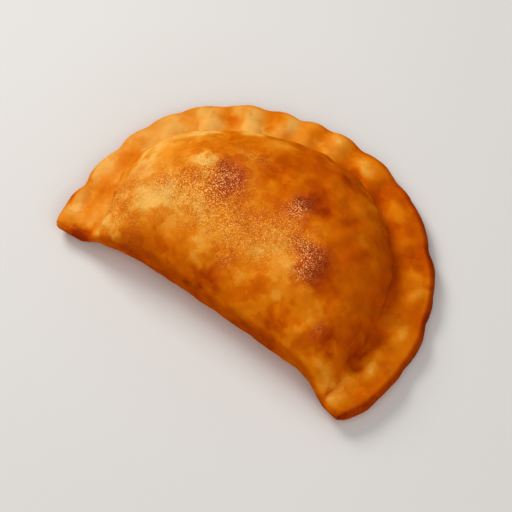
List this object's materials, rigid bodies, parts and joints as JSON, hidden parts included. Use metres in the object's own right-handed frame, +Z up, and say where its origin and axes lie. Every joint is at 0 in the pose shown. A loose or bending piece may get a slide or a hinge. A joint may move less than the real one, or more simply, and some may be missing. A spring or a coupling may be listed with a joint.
{
  "type": "fried meat pastry",
  "caption": "Half-moon fried turnover: golden blistered dough folded over a meat filling, domed, with a pinched flat rim round the arc that ends in horns, lying flat.",
  "frame": {"origin": "on the resting plane, under the middle of the pastry's bounding box", "axes": "+X along the straight fold from horn to horn, +Y from the fold towards the pinched arc, +Z up"},
  "size_m": [0.1556, 0.105, 0.0369],
  "materials": {
    "fried_crust": "satin"
  },
  "bodies": {
    "root": {"pastry": "fried_crust"}
  },
  "joints": []
}
